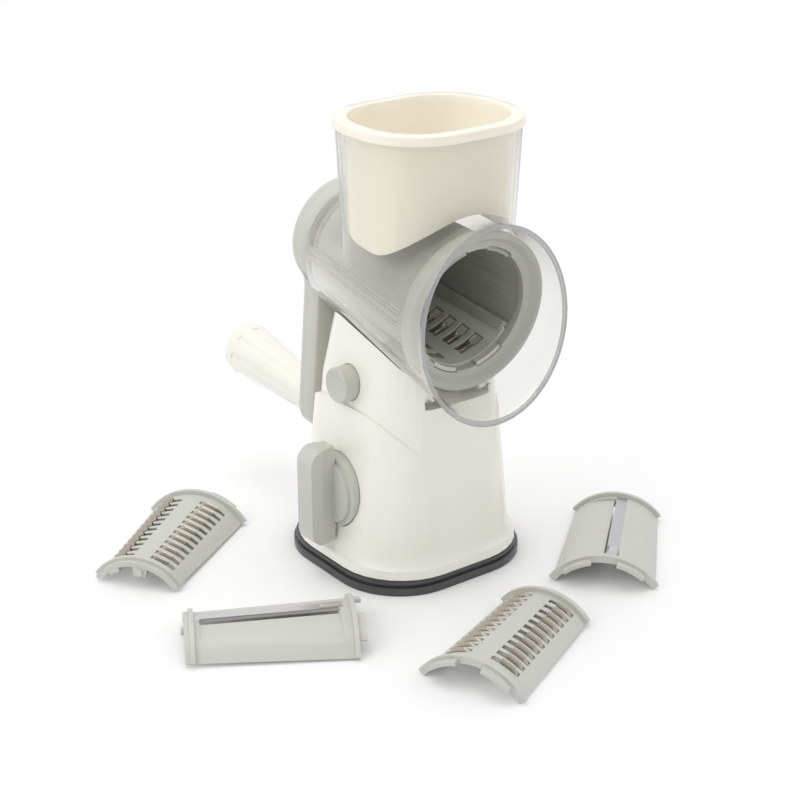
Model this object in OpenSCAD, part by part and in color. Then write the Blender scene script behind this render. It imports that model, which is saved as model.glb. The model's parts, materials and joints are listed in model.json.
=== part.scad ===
// Hand-cranked rotary vegetable shredder: a moulded body on a suction foot, a clear
// hopper and barrel, a conical drum with clip-in cutting inserts, and four spare inserts.
// Origin at the middle of the suction cup's underside, +Z up, the mouth of the drum faces -Y.

/* [Whole tool] */
// Height of the drum axis over the middle of the foot
axis_height = 174.8; // [165:0.1:190]
// How far the drum axis dips towards its mouth, in degrees
axis_tilt = 6.4; // [4:0.1:8]

/* [Foot] */
// Width of the rubber foot ring
foot_width = 120.6; // [116:0.2:140]
// Depth of the rubber foot ring
foot_depth = 121; // [116:0.2:140]
// Corner radius of the foot ring
foot_corner = 42; // [30:1:50]
// Height of the lower bead of the foot ring
foot_bead_height = 5; // [4:0.1:7]
// Height of the whole foot ring
foot_height = 8.5; // [7.5:0.1:11]
// Depth of the groove round the foot ring
foot_groove_depth = 2; // [1:0.1:3]
// Radius of the suction cup
cup_radius = 48; // [38:0.5:49]
// Thickness of the suction cup's rim
cup_thickness = 2.5; // [2:0.1:4]

/* [Body] */
// Half width of the body just over the lip
body_half_width = 54.5; // [50:0.5:60]
// Front reach of the body just over the lip
body_front = 55.8; // [50:0.1:60]
// Rear reach of the body just over the lip
body_rear = 53.9; // [50:0.1:60]
// Corner radius of the body just over the lip
body_corner = 38; // [30:1:42]
// Half width of the body at shoulder height
shoulder_half_width = 42.6; // [40:0.1:46]
// Front reach of the body at shoulder height
shoulder_front = 50.3; // [46:0.1:54]
// Rear reach of the body at shoulder height
shoulder_rear = 49.9; // [47:0.1:54]
// Corner radius of the body at shoulder height
shoulder_corner = 29; // [24:1:34]
// Height of the shoulder sections
shoulder_height = 112; // [105:1:118]
// Wall of the body
body_wall = 2.6; // [2:0.1:3.4]
// How far the lip at the bottom stands out
lip_out = 3.3; // [2:0.1:4.5]
// Height of the lip
lip_height = 6; // [4:0.1:8]
// Radius of the hollow curve between lip and wall
lip_fillet = 8; // [5:0.5:12]
// Radius of the upper corners of the boss about the lever, seen from the side
boss_radius = 36; // [32:0.5:40]
// Half of the boss's flat top between its corners
boss_flat_half = 17; // [13:0.5:19]
// Height of the boss
boss_top = 102; // [100:0.5:104]
// How far the boss stands out at the sides
boss_step = 1.6; // [0.8:0.1:2.4]
// How far the boss stands out at the back
boss_step_rear = 4.2; // [2.5:0.1:5]

/* [Suction lever] */
// Height of the lever's axis
lever_height = 51; // [46:0.5:56]
// Radius of the lever's disc
lever_disc_radius = 22; // [18:0.5:25]
// Length of the paddle
paddle_length = 60; // [50:1:66]
// Thickness of the paddle at its outer edge
paddle_thickness = 14.5; // [11:0.5:17]
// How far the paddle stands out from the body
paddle_reach = 22.5; // [16:0.5:26]
// Radius of the lever's shaft
lever_shaft_radius = 6; // [5:0.1:8]
// Lift of the pull rod
cup_lift = 3; // [2:0.1:4]

/* [Release button] */
// Height of the button's axis
button_height = 115.3; // [112:0.1:118]
// Radius of the button
button_radius = 10.5; // [8:0.1:12]
// How far the button stands out from the body
button_reach = 8; // [6:0.5:10]
// Travel of the button
button_travel = 4; // [2.5:0.1:5]

/* [Housing] */
// Outer radius of the barrel where the drum axis crosses the middle
barrel_radius = 44.8; // [44.2:0.1:47]
// Growth of the barrel's radius for each millimetre towards the mouth
barrel_slope = 0.094; // [0.08:0.002:0.1]
// Wall of the clear housing
housing_wall = 2.4; // [1.8:0.1:2.8]
// Back end of the barrel, along the axis
barrel_back = 44; // [43:0.1:46]
// Width of the hopper at its top
hopper_width = 99.6; // [97:0.2:104]
// Width of the hopper at its foot
hopper_foot_width = 93; // [91:0.2:96]
// How much deeper than wide the hopper is not
hopper_slimness = 15; // [10:1:18]
// Middle of the hopper, ahead of the axis origin
hopper_forward = 20.9; // [18:0.1:22]
// Height of the hopper's top edge
hopper_top = 264.5; // [255:0.5:275]
// Half height of the oval rim at the mouth
rim_half_height = 55.9; // [54:0.1:60]
// Half width of the oval rim at the mouth
rim_half_width = 50.8; // [50:0.1:54]
// Half width of the sliding foot under the barrel
rail_half_width = 22.4; // [18:0.1:26]
// Thickness of the sliding foot
rail_thickness = 4; // [3:0.1:5]

/* [Drum] */
// Outer radius of the cage at its back
cage_back_radius = 34.6; // [33.6:0.1:35]
// Outer radius of the cage at its front
cage_front_radius = 39.4; // [38.8:0.1:40]
// Wall of the cage
cage_wall = 2.2; // [1.8:0.1:2.6]
// Outer radius of the front ring
ring_radius = 46.5; // [45.5:0.1:46.8]
// Front face of the ring, along the axis
ring_front = 66; // [65:0.1:68]

/* [Inserts] */
// Half of the angle that an insert spans, in degrees
insert_half_angle = 55.5; // [50:0.5:58]
// Thickness of an insert's plate
plate_thickness = 2.2; // [1.8:0.1:2.6]
// Height of the flanges at an insert's ends
flange_height = 2.4; // [1.6:0.1:2.8]
// Teeth in each row of the spare graters
teeth_in_row = 12; // [8:1:13]
// Teeth in each row of the grater in the drum
teeth_in_drum = 7; // [5:1:7]
// Height of the teeth over the plate
tooth_rise = 2.5; // [1.8:0.1:2.7]
// Thickness of the blade steel
steel_thickness = 0.6; // [0.4:0.1:0.8]

/* [Pusher] */
// Width of the pusher's rim
pusher_rim_width = 103; // [100:0.2:108]
// Width of the pusher at the top of its cup
pusher_width = 92; // [88:0.2:94]
// Width of the pusher at its lower end
pusher_foot_width = 87.8; // [84:0.2:88.2]
// Height of the rim over the hopper's edge
pusher_rim_height = 5.2; // [4:0.1:7]
// Wall of the pusher
pusher_wall = 2.4; // [1.8:0.1:3]
// Radius of the hollow under the pusher
pusher_saddle_radius = 52.5; // [51:0.1:54]

/* [Crank] */
// Radius of the crank's head
head_radius = 35; // [33:0.1:36]
// Thickness of the crank
crank_thickness = 16.2; // [14:0.1:18]
// Distance from the drum axis to the grip's axis
crank_throw = 112; // [105:1:114]
// Half width of the arm where it would reach the drum axis
arm_half_width = 25; // [22:0.1:26]
// Radius of the arm's end
arm_end_radius = 14.5; // [13:0.1:16]
// Radius of the hollow curves between head and arm
neck_fillet = 18; // [14:1:24]
// Swing of the arm from straight down, in degrees
crank_swing = 5.2; // [0:0.1:8]
// Length of the grip
grip_length = 88; // [70:1:92]
// Radius of the grip at the arm
grip_root_radius = 10.8; // [10:0.1:12.5]
// Radius of the grip near its free end
grip_end_radius = 16.8; // [14:0.1:18]
// Radius of the grip's axle
grip_axle_radius = 4; // [3:0.1:5]

/* [Hidden] */

ivory = "#f2efe4";
light_grey = "#c9cac3";
clear_plastic = [0.88, 0.9, 0.92, 0.35];
steel_grey = "#b9b5ab";
rubber_black = "#1d1d1e";

$fn = 96;
// Steps in each quarter of a moulded outline
corner_steps = 8;
// How far a cut runs past what it cuts
overrun = 1;
// Clearance about sliding pieces
slide_gap = 0.35;
// Clearance between faces that turn past each other
face_gap = 0.3;
// Radial clearance of shafts in their bores
running_gap = 0.08;

// Foot
foot_inset = 1.4;
plate_inset = 4.3;
base_plate_thickness = 2.7;
base_plate_z = foot_height - base_plate_thickness;
foot_hole_radius = cup_radius + 1;
screw_offset = 31;
screw_radius = 1.6;
screw_head_radius = 3.6;
screw_head_height = 2;
screw_length = 16;
post_radius = 4.6;
post_height = 18;
rib_thickness = 2.2;
stud_radius = 6;
stud_top = foot_height + 0.6;
guide_radius = 10;
guide_top = stud_top + 16;
guide_floor = stud_top + 5;
rod_radius = 4;

// Body
wall_start = foot_height + lip_height;
lip_round = 0.8;
body_top = axis_height - 15;
cavity_top = axis_height - 22;
rear_lean = 0.2;
fillet_steps = 4;

// Suction lever, placed along its own axis from the middle of the body
disc_floor = body_half_width - 8.1;
pocket_gap = 0.5;
disc_back = disc_floor + face_gap;
disc_face = disc_back + 7.3;
disc_crown = 2.4;
disc_crown_inset = 3;
paddle_corner = 9;
paddle_start = body_half_width + 0.8;
paddle_end = body_half_width - 4.4 + paddle_reach;
paddle_waist = 4;
pad_thickness = 4.4;
pad_radius = lever_disc_radius + 3;
clip_thickness = 1;
clip_radius = lever_shaft_radius + 3.4;
web_radius = 9;
web_start = 9;
web_thickness = 3;
pin_radius = 2.5;
yoke_inner = 3;
yoke_outer = web_start - face_gap;
yoke_half = 8;
yoke_slot_play = 0.9;

// Release button, placed from the body's wall
button_face = shoulder_half_width - 0.4 + button_reach;
button_depth = 12;
button_back = button_face - button_depth;
button_dish = 0.5;
sleeve_wall = 2.5;
spring_room = 8;
seat_face = button_back - spring_room;
seat_thickness = 2;
spring_radius = 7.6;
spring_wire = 0.9;
spring_turns = 4;
tongue_half_width = 2.5;
tongue_thickness = 2.4;
tongue_clearance = 0.8;
tongue_end = 10.5;
latch_outer = 17.5;
latch_width = 3;
latch_half_depth = 2;

// Housing, placed along the drum axis
hopper_wall = 1.9;
hopper_top_corner = 34.6;
hopper_foot_corner = 30;
hopper_foot_height = 205;
hopper_root_shrink = 6;
hopper_root = axis_height - 1;
rim_steps = 16;
flare_power = 1.6;
flare_start = 60;
flare_steps = 5;
rim_forward = 81;
rim_drop = 1.3;
rim_lean = 10.3;
rim_bead = 1;
hub_radius = 12;
boss_radius_back = 15.5;
boss_back = 48;
bush_back = 49.4;
rail_drop = barrel_radius + 12.1;
rail_front = 57.4;
rail_back = 22;
rail_neck_half = 14;
rail_lip = 2;
groove_depth = 2;
groove_inner = latch_outer - latch_width - button_travel - 0.8;
groove_outer = latch_outer + 0.8;
groove_front = rail_drop * sin(axis_tilt) + latch_half_depth + 1.5;
grip_rib_width = 1.3;
grip_rib_height = 0.9;
grip_rib_angles = [3, 5.4, 9.6, 12];
grip_rib_front = 59;
grip_rib_back = barrel_back - 6;
back_wall = 2.5;
barrel_round = 3;
// Height of the sliding foot's middle plane over the middle of the base
rail_height = axis_height - rail_drop / cos(axis_tilt);
// Tongue and latch of the button, from the button's axis
tongue_top = rail_height - rail_thickness / 2 - slide_gap - body_wall - tongue_clearance - button_height;
latch_top = rail_height - rail_thickness / 2 + groove_depth - 0.6 - button_height;

// Drum, placed along its axis
cage_back = -40;
cage_front = 56;
cage_disc = 2;
ring_bore = 36.2;
ring_back = 52;
ring_skirt = 41.6;
ring_flange = 58;
ring_bead = 3.5;
ring_face = 62;
ring_step = 40.6;
hub_outer = 11;
hub_depth = 18;
hex_across = 10;
hex_gap = 0.1;
journal_radius = 8;
bush_flange = 15;
bush_flange_thickness = 1.2;
tab_inner = 34.7;
tab_outer = 37;
tab_length = 4.4;
tab_foot = 3;
tab_from = 12;
tab_to = 40;
tab_gap = 0.4;
ledge_width = 3;
ledge_thickness = 1.3;
side_gap = 0.4;

// Inserts, in the drum's frame
insert_back = -37.7;
insert_front = cage_front;
insert_length = insert_front - insert_back;
flange_width = 2.6;
end_lip = 2.8;
end_lip_rise = 0.7;
rear_narrowing = 3;
plate_back_radius = cage_back_radius - 0.4 - flange_height;
plate_front_radius = cage_front_radius - 0.6 - flange_height;
plate_slope = (plate_front_radius - plate_back_radius) / insert_length;
row_length = 78;
drum_row_length = 83.3;
slot_from = 10;
slot_to = 37;
// Room at each side of a tooth in its slot
slot_margin = 0.3;
fine_tooth_half = 1.35;
coarse_tooth_half = 1.6;
drum_tooth_half = 2.6;
tooth_angle = 18;
// How far a tooth's root runs into the sheet, in degrees
tooth_lap = 0.5;
// Where a tooth has risen nearly to its height, and how far up it is there
tooth_shoulder_share = 0.3;
tooth_shoulder_rise_share = 0.88;
tooth_steps = 6;
steel_half_angle = 42;
steel_margin = 4;
steel_depth = 0.8;
catch_from = -4;
catch_to = 14;
catch_depth = 5.5;
catch_width = 4;
catch_pin_radius = 2.3;
catch_pin_length = 1.6;
lug_from = -36;
lug_to = -22;
lug_depth = 2.5;
slicer_margin = 9;
ramp_depth = 1.6;
ramp_angle = 38;
ramp_start = 0.6;
ramp_reach = 24;
ramp_margin = 0.8;
blade_angle = 12;
thin_cut = 1.3;
thick_cut = 4;
table_gap = 0.05;
// Places of the spare inserts on the table, and where their front ends point
fine_x = -121.4;
fine_y = 76;
fine_heading = 36.2;
thick_x = -129.7;
thick_y = -46.9;
thick_heading = -28.7;
coarse_x = -29.8;
coarse_y = -135.6;
coarse_heading = -156.3;
thin_x = 94.5;
thin_y = -80.3;
thin_heading = -137.8;

// Pusher
pusher_rim_gap = 0.15;
pusher_rim_corner = 37.5;
pusher_corner = 33;
pusher_foot_corner = 29.5;
pusher_root = axis_height + 8;
rim_round = 0.8;
pusher_rim_z = hopper_top + pusher_rim_gap;
pusher_top = pusher_rim_z + pusher_rim_height;
saddle_length = 70;

// Crank, placed along the drum axis
crank_front = 49.8;
crank_back = crank_front + crank_thickness;
shell_line = crank_front + 10.2;
crank_round = 2.4;
// Place in the arm from which the whole outline of the crank can be seen
crank_heart = [0, -62];
shaft_head_radius = 12;
shaft_head_thickness = 4;
shaft_end = 24;
arc_steps = 10;
axle_head_radius = 8;
axle_head_thickness = 2;
grip_gap = 0.4;
grip_round = 5;
grip_cap_thickness = 3;
grip_cap_radius = 6.5;
axle_recess = 8;
axle_collar = 5.4;
axle_collar_thickness = 3;
grip_flutes = 8;
flute_radius = 14;
flute_depth = 0.5;
crank_screw_radius = 1.5;
crank_screw_head = 3;
crank_screw_sink = 0.5;
crank_screw_cap = 2;
crank_screw_spots = [0, 43, 78];

// Radius of the barrel at a place along the axis
function barrel_at(z) = barrel_radius + barrel_slope * z;
// Outer radius of an insert's plate at a place along the axis
function plate_at(z) = plate_back_radius + plate_slope * (z - insert_back);
// A body size at height z, leaning from its low value to its shoulder value
function leaning(low, high, z) =
    low + (high - low) * (z - wall_start) / (shoulder_height - wall_start);

// Outline of a rounded rectangle at height z
function rounded_ring(x1, x2, y1, y2, r, z) = [
    for (q = [0:3], i = [0:corner_steps])
        let (a = 90 * (q + i / corner_steps),
             cx = q == 0 || q == 3 ? x2 - r : x1 + r,
             cy = q < 2 ? y2 - r : y1 + r)
        [cx + r * cos(a), cy + r * sin(a), z]
];

// Section of the body, drawn in at its sides and back
function body_ring(z, side_in, rear_in, all_in = 0) =
    let (half = leaning(body_half_width, shoulder_half_width, z) - side_in - all_in,
         front = leaning(body_front, shoulder_front, z) - all_in,
         rear = leaning(body_rear, shoulder_rear, z) - rear_in - all_in
                - rear_lean * max(0, z - shoulder_height),
         corner = leaning(body_corner, shoulder_corner, z) - all_in)
    rounded_ring(-half, half, -front, rear, corner, z);

// Section of the hopper or of what slides in it
function hopper_ring(width, corner, z) =
    let (half = width / 2, deep = (width - hopper_slimness) / 2)
    rounded_ring(-half, half, -hopper_forward - deep, -hopper_forward + deep, corner, z);

// Sides of a stack of m rings of n points
function loft_sides(n, m) = [
    for (j = [0:m - 2], i = [0:n - 1])
        let (a = j * n + i, b = j * n + (i + 1) % n)
        each [[a, a + n, b + n], [a, b + n, b]]
];

// Solid through a stack of rings that have the same number of points and bulge out all round
module loft(rings) {
    n = len(rings[0]);
    m = len(rings);
    bottom = [for (i = [0:n - 1]) i];
    top = [for (i = [n - 1:-1:0]) (m - 1) * n + i];
    polyhedron(
        points = [for (ring = rings) each ring],
        faces = concat([bottom], loft_sides(n, m), [top])
    );
}

// The same for outlines with hollows, closed by fans about a point that sees the whole outline
module hollow_loft(rings, heart) {
    n = len(rings[0]);
    m = len(rings);
    last = (m - 1) * n;
    hearts = [for (j = [0, m - 1]) [heart[0], heart[1], rings[j][0][2]]];
    bottom = [for (i = [0:n - 1]) [i, (i + 1) % n, m * n]];
    top = [for (i = [0:n - 1]) [last + (i + 1) % n, last + i, m * n + 1]];
    polyhedron(
        points = concat([for (ring = rings) each ring], hearts),
        faces = concat(bottom, loft_sides(n, m), top)
    );
}

// The same for arches: the outside from end to end and the inside back again
module arch_loft(rings) {
    n = len(rings[0]);
    m = len(rings);
    last = (m - 1) * n;
    bottom = [for (i = [0:n / 2 - 2]) [i, i + 1, n - 2 - i, n - 1 - i]];
    top = [for (i = [0:n / 2 - 2]) [last + n - 1 - i, last + n - 2 - i, last + i + 1, last + i]];
    polyhedron(
        points = [for (ring = rings) each ring],
        faces = concat(bottom, loft_sides(n, m), top)
    );
}

// Rounded rectangle with true arcs
module rounded_plate(w, d, r) {
    square([w - 2 * r, d], center = true);
    square([w, d - 2 * r], center = true);
    for (sx = [-1, 1], sy = [-1, 1])
        translate([sx * (w / 2 - r), sy * (d / 2 - r)])
            circle(r);
}

// Drum frame: z runs along the axis to the mouth, x to the right, y up
module on_axis() {
    translate([0, 0, axis_height])
        rotate([90 + axis_tilt, 0, 0])
            children();
}

// Lever and button frames: z runs out of the body's left side
module on_left(height) {
    translate([0, 0, height])
        rotate([0, -90, 0])
            children();
}

// Tapered solid of revolution about the drum axis, from z1 to z2
module cone_between(z1, z2, grow) {
    rotate_extrude()
        polygon([[0, z1], [barrel_at(z1) + grow, z1], [barrel_at(z2) + grow, z2], [0, z2]]);
}

// Round post from z1 to z2
module post(r, z1, z2) {
    translate([0, 0, z1])
        cylinder(r = r, h = z2 - z1);
}

// Section of the body just over its lip, for the swept lip and its hollow curve
module body_outside() {
    loft([
        for (z = [foot_height + overrun, shoulder_height, body_top])
            body_ring(z, boss_step, boss_step_rear)
    ]);
    intersection() {
        loft(concat(
            [
                body_ring(foot_height, 0, 0, lip_round - lip_out),
                body_ring(foot_height + lip_round, 0, 0, -lip_out),
                body_ring(wall_start - lip_round, 0, 0, -lip_out)
            ],
            [
                for (i = [0:fillet_steps])
                    let (a = 90 * i / fillet_steps)
                    body_ring(wall_start + lip_fillet * (1 - cos(a)), 0, 0, -lip_out * (1 - sin(a)))
            ],
            [body_ring(shoulder_height, 0, 0)]
        ));
        boss_outline();
    }
}

// Room of the boss about the lever: full depth at the foot, then in to two round upper corners
module boss_outline() {
    low = boss_top - boss_radius;
    half = boss_flat_half + boss_radius;
    for (side = [-1, 1])
        on_left(low)
            translate([0, side * boss_flat_half, -foot_width])
                cylinder(r = boss_radius, h = 2 * foot_width);
    translate([-foot_width, -boss_flat_half, 0])
        cube([2 * foot_width, 2 * boss_flat_half, boss_top]);
    translate([-foot_width, -half, 0])
        cube([2 * foot_width, 2 * half, low]);
    translate([-foot_width, -foot_depth, 0])
        cube([2 * foot_width, 2 * foot_depth, lever_height]);
}

// Channel for the sliding foot, grown on all sides by a clearance
module rail_space(grow, front) {
    half = rail_half_width + grow;
    neck = rail_neck_half + grow;
    thick = rail_thickness + 2 * grow;
    on_axis() {
        translate([-half, -rail_drop - thick / 2, -rail_back - grow])
            cube([2 * half, thick, rail_back + grow + front]);
        translate([-neck, -rail_drop, -rail_back - grow])
            cube([2 * neck, rail_drop - barrel_at(-rail_back) + barrel_round,
                  rail_back + grow + front]);
    }
}

// Posts that take the base screws, with a rib to the corner of the body
module screw_posts() {
    for (a = [45:90:315])
        rotate([0, 0, a]) {
            reach = screw_offset * sqrt(2);
            translate([reach, 0, 0])
                post(post_radius, foot_height, foot_height + post_height);
            translate([reach, -rib_thickness / 2, foot_height])
                cube([body_half_width - reach + post_radius, rib_thickness, post_height]);
        }
}

// Hollow inside the body, less what stands in it
module body_hollow() {
    block = slide_gap + body_wall;
    difference() {
        loft([
            for (z = [foot_height - overrun, shoulder_height, cavity_top])
                body_ring(z, boss_step, boss_step_rear, body_wall)
        ]);
        on_axis()
            cone_between(-foot_depth, foot_depth, block);
        rail_space(block, foot_depth);
        on_left(lever_height)
            post(pad_radius, disc_floor - pad_thickness, body_half_width);
        on_left(button_height)
            post(button_radius + slide_gap + sleeve_wall, seat_face - seat_thickness,
                 body_half_width);
        screw_posts();
    }
}

module body_shell() {
    color(ivory)
        difference() {
            body_outside();
            body_hollow();
            on_axis()
                cone_between(-foot_depth, foot_depth, slide_gap);
            rail_space(slide_gap, foot_depth);
            on_left(lever_height) {
                post(lever_disc_radius + pocket_gap, disc_floor, foot_width);
                post(lever_shaft_radius + running_gap, disc_floor - pad_thickness - overrun,
                     foot_width);
            }
            on_left(button_height) {
                post(button_radius + slide_gap, seat_face, foot_width);
                translate([tongue_top - tongue_thickness - slide_gap,
                           -tongue_half_width - slide_gap, 0])
                    cube([tongue_thickness + 2 * slide_gap, 2 * (tongue_half_width + slide_gap),
                          seat_face + overrun]);
                translate([tongue_top, -latch_half_depth - slide_gap, groove_inner])
                    cube([latch_top - tongue_top, 2 * (latch_half_depth + slide_gap),
                          groove_outer - groove_inner]);
            }
            for (sx = [-1, 1], sy = [-1, 1])
                translate([sx * screw_offset, sy * screw_offset, 0])
                    post(screw_radius, 0, foot_height + screw_length);
        }
}

module base_plate() {
    color(light_grey)
        difference() {
            union() {
                translate([0, 0, base_plate_z])
                    linear_extrude(base_plate_thickness)
                        rounded_plate(foot_width - 2 * plate_inset, foot_depth - 2 * plate_inset,
                                      foot_corner - plate_inset);
                post(guide_radius, base_plate_z, guide_top);
            }
            post(rod_radius + running_gap, 0, foot_width);
            post(stud_radius + slide_gap, 0, guide_floor);
            for (sx = [-1, 1], sy = [-1, 1])
                translate([sx * screw_offset, sy * screw_offset, 0])
                    post(screw_radius + running_gap, 0, foot_height + overrun);
        }
}

module foot_ring() {
    groove_top = base_plate_z;
    color(rubber_black)
        difference() {
            union() {
                linear_extrude(foot_bead_height)
                    rounded_plate(foot_width, foot_depth, foot_corner);
                linear_extrude(groove_top)
                    rounded_plate(foot_width - 2 * foot_groove_depth, foot_depth - 2 * foot_groove_depth,
                                  foot_corner - foot_groove_depth);
                translate([0, 0, groove_top])
                    linear_extrude(foot_height - groove_top)
                        rounded_plate(foot_width - 2 * foot_inset, foot_depth - 2 * foot_inset,
                                      foot_corner - foot_inset);
            }
            post(foot_hole_radius, -overrun, foot_height + overrun);
            translate([0, 0, groove_top])
                linear_extrude(foot_height)
                    rounded_plate(foot_width - 2 * plate_inset, foot_depth - 2 * plate_inset,
                                  foot_corner - plate_inset);
        }
}

module suction_cup() {
    dome = cup_thickness + 0.8;
    color(rubber_black)
        rotate_extrude()
            polygon([[0, 0], [cup_radius, 0], [cup_radius, cup_thickness - 1],
                     [cup_radius - 2, cup_thickness], [stud_radius * 2, dome],
                     [stud_radius, dome + 1], [stud_radius, stud_top], [0, stud_top]]);
}

module base_screws() {
    color(steel_grey)
        for (sx = [-1, 1], sy = [-1, 1])
            translate([sx * screw_offset, sy * screw_offset, 0])
                difference() {
                    union() {
                        post(screw_head_radius, base_plate_z - screw_head_height, base_plate_z);
                        post(screw_radius, base_plate_z - screw_head_height, foot_height + screw_length);
                    }
                    for (a = [0, 90])
                        rotate([0, 0, a])
                            translate([-screw_radius, -screw_radius / 4, 0])
                                cube([2 * screw_radius, screw_radius / 2,
                                      base_plate_z - screw_head_height / 2]);
                }
}

// Outline of the paddle in the lever's frame, with rounded outer corners
module paddle_outline() {
    half = paddle_length / 2;
    translate([-half, paddle_start])
        square([paddle_length, paddle_end - paddle_corner - paddle_start]);
    translate([-half + paddle_corner, paddle_start])
        square([paddle_length - 2 * paddle_corner, paddle_end - paddle_start]);
    for (s = [-1, 1])
        translate([s * (half - paddle_corner), paddle_end - paddle_corner])
            circle(paddle_corner);
}

module suction_lever() {
    scoop = paddle_length;
    waist = paddle_thickness / 2 - paddle_waist / 2;
    pin_drop = cup_lift;
    color(light_grey)
        on_left(lever_height) {
            post(lever_disc_radius, disc_back, disc_face);
            post(lever_disc_radius - disc_crown_inset, disc_face, disc_face + disc_crown);
            post(lever_shaft_radius, web_start, disc_back);
            post(web_radius, web_start, web_start + web_thickness);
            translate([-pin_drop, 0, 0])
                post(pin_radius, yoke_inner, web_start);
            difference() {
                rotate([90, 0, 0])
                    translate([0, 0, -paddle_thickness / 2])
                        linear_extrude(paddle_thickness)
                            paddle_outline();
                for (s = [-1, 1])
                    translate([-scoop, s * (waist + scoop / 2), disc_face])
                        rotate([0, 90, 0])
                            cylinder(r = scoop / 2, h = 2 * scoop);
            }
        }
}

module lever_clip() {
    color(steel_grey)
        on_left(lever_height)
            difference() {
                post(clip_radius, disc_floor - pad_thickness - face_gap - clip_thickness,
                     disc_floor - pad_thickness - face_gap);
                post(lever_shaft_radius, 0, disc_floor);
            }
}

module pull_rod() {
    low = lever_height - cup_lift - yoke_half;
    slot = pin_radius + yoke_slot_play;
    color(light_grey)
        difference() {
            union() {
                post(rod_radius, stud_top, low + rod_radius);
                translate([-yoke_outer, -rod_radius, low])
                    cube([yoke_outer + rod_radius, 2 * rod_radius, rod_radius]);
                translate([-yoke_outer, -yoke_half, low])
                    cube([yoke_outer - yoke_inner, 2 * yoke_half + cup_lift, 2 * yoke_half]);
            }
            translate([-foot_width, -slot, low + yoke_half - slot])
                cube([2 * foot_width, 2 * slot + cup_lift, 2 * slot]);
        }
}

module release_button() {
    edge = 0.9;
    color(light_grey)
        on_left(button_height) {
            rotate_extrude()
                polygon([[0, button_back], [button_radius, button_back],
                         [button_radius, button_face - edge], [button_radius - edge, button_face],
                         [button_radius - 2 * edge, button_face - button_dish],
                         [0, button_face - button_dish]]);
            translate([tongue_top - tongue_thickness, -tongue_half_width, tongue_end])
                cube([tongue_thickness, 2 * tongue_half_width, button_back - tongue_end]);
            translate([tongue_top - tongue_thickness, -latch_half_depth, latch_outer - latch_width])
                cube([latch_top - tongue_top + tongue_thickness, 2 * latch_half_depth, latch_width]);
        }
}

// Coil of round wire about z, from z1 to z2, with its ends cut square
module coil(r, wire, turns, z1, z2) {
    steps = 14 * turns;
    sides = 6;
    rise = z2 - z1 - 2 * wire;
    rings = [
        for (i = [0:steps])
            let (a = 360 * turns * i / steps)
            [
                for (k = [0:sides - 1])
                    let (b = -360 * k / sides, out = r + wire * cos(b))
                    [out * cos(a), out * sin(a), z1 + wire + rise * i / steps + wire * sin(b)]
            ]
    ];
    loft(rings);
}

module button_spring() {
    color(steel_grey)
        on_left(button_height)
            coil(spring_radius, spring_wire, spring_turns, seat_face, button_back);
}

// Section of the mouth's flare, from the barrel's end (share 0) to the oval rim (share 1)
function flare_ring(share, grow) =
    let (lean = rim_lean * share,
         opened = pow(share, flare_power),
         round_radius = barrel_at(flare_start + (rim_forward - flare_start) * share),
         half_x = round_radius + (rim_half_width - barrel_at(rim_forward)) * opened + grow,
         half_y = round_radius + (rim_half_height - barrel_at(rim_forward)) * opened + grow,
         z = flare_start + (rim_forward - flare_start) * share,
         up = -rim_drop * share)
    [
        for (i = [0:4 * rim_steps - 1])
            let (a = 90 * i / rim_steps)
            [half_x * cos(a), up + half_y * sin(a) * cos(lean), z - half_y * sin(a) * sin(lean)]
    ];

// Ring round the barrel
function barrel_ring(z, grow) = [
    for (i = [0:4 * rim_steps - 1])
        let (a = 90 * i / rim_steps)
        [(barrel_at(z) + grow) * cos(a), (barrel_at(z) + grow) * sin(a), z]
];

// Barrel with its rounded back corner and its flare, drawn in by a wall
module barrel_solid(wall, back, past) {
    loft(concat(
        [
            barrel_ring(back, -wall - barrel_round),
            barrel_ring(back + barrel_round * 0.3, -wall - barrel_round * 0.3),
            barrel_ring(back + barrel_round, -wall)
        ],
        [for (i = [0:flare_steps]) flare_ring(i / flare_steps, -wall)],
        [[for (p = flare_ring(1, rim_bead / 2 - wall)) p + [0, 0, rim_bead + past]]]
    ));
}

// Hopper, drawn in by a wall and carried past its top edge
module hopper_solid(wall, past) {
    root_width = hopper_foot_width - hopper_root_shrink;
    growth = (hopper_width - hopper_foot_width) / (hopper_top - hopper_foot_height);
    loft([
        hopper_ring(root_width - 2 * wall, hopper_foot_corner - hopper_root_shrink - wall,
                    hopper_root - past),
        hopper_ring(hopper_foot_width - 2 * wall, hopper_foot_corner - wall, hopper_foot_height),
        hopper_ring(hopper_width - 2 * wall + growth * past, hopper_top_corner - wall,
                    hopper_top + past)
    ]);
}

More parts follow.
